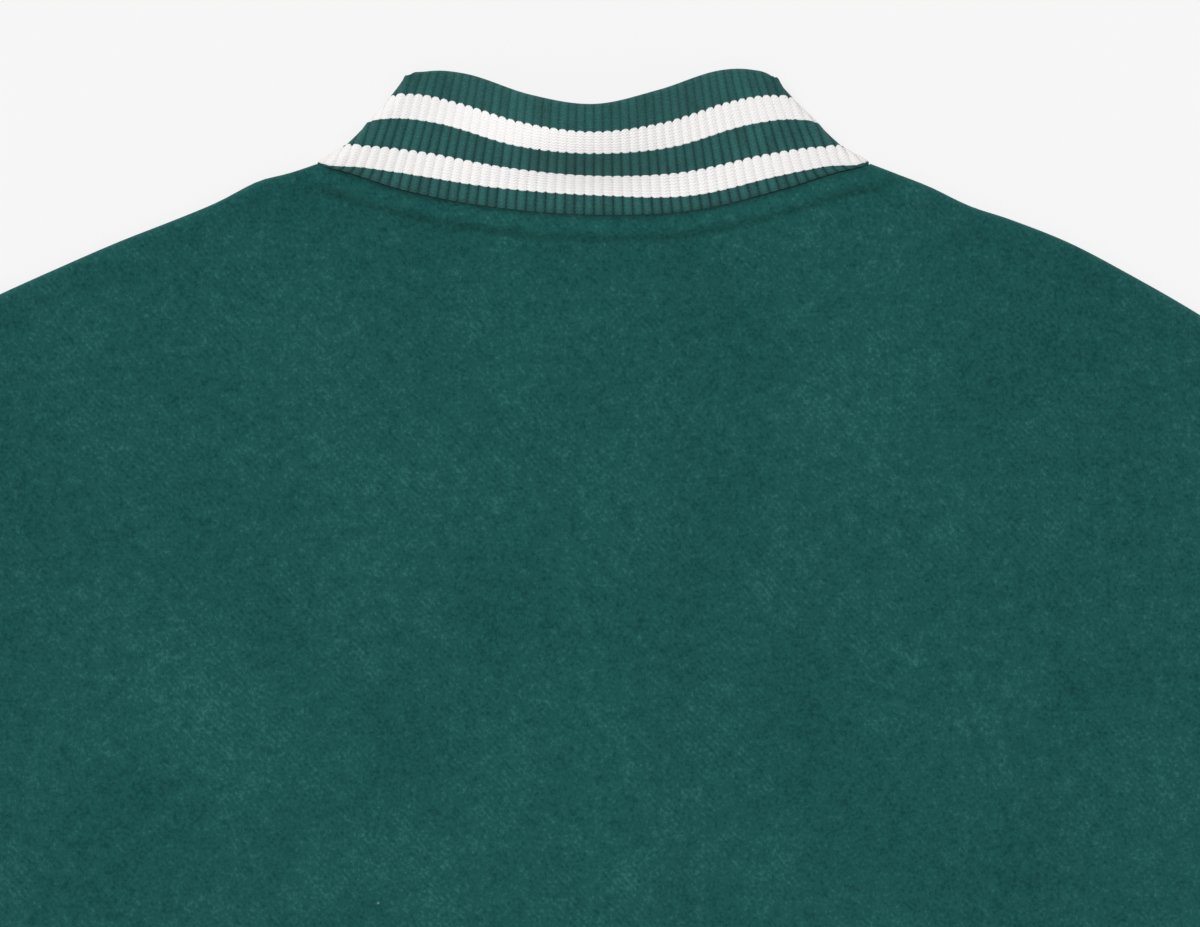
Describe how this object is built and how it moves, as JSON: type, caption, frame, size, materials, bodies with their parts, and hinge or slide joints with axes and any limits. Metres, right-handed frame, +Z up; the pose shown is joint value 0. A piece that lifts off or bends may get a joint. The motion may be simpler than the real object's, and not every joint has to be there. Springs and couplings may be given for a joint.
{
  "type": "varsity jacket",
  "caption": "Green wool varsity jacket laid flat with its back up, with a striped rib collar, rib cuffs and hem band, and round snap caps at the front.",
  "frame": {"origin": "bottom centre of the whole laid-out jacket, on the surface it lies on", "axes": "+Z up out of the surface towards the back panel, +Y towards the collar, +X towards the wearer's right sleeve as it lies face down"},
  "size_m": [1.395, 0.74, 0.0284],
  "materials": {
    "wool": "brushed, felted wool twill",
    "rib": "2x2 rib knit with two off-white stripes",
    "cap": "satin"
  },
  "bodies": {
    "root": {"back": "wool", "front_left": "wool", "front_right": "wool", "sleeve_left": "wool", "sleeve_right": "wool", "collar": "rib", "cuff_left": "rib", "cuff_right": "rib", "hem_band": "rib", "snap_cap_1": "cap", "snap_cap_2": "cap", "snap_cap_3": "cap", "snap_cap_4": "cap", "snap_cap_5": "cap", "snap_cap_6": "cap", "snap_cap_7": "cap"}
  },
  "joints": []
}
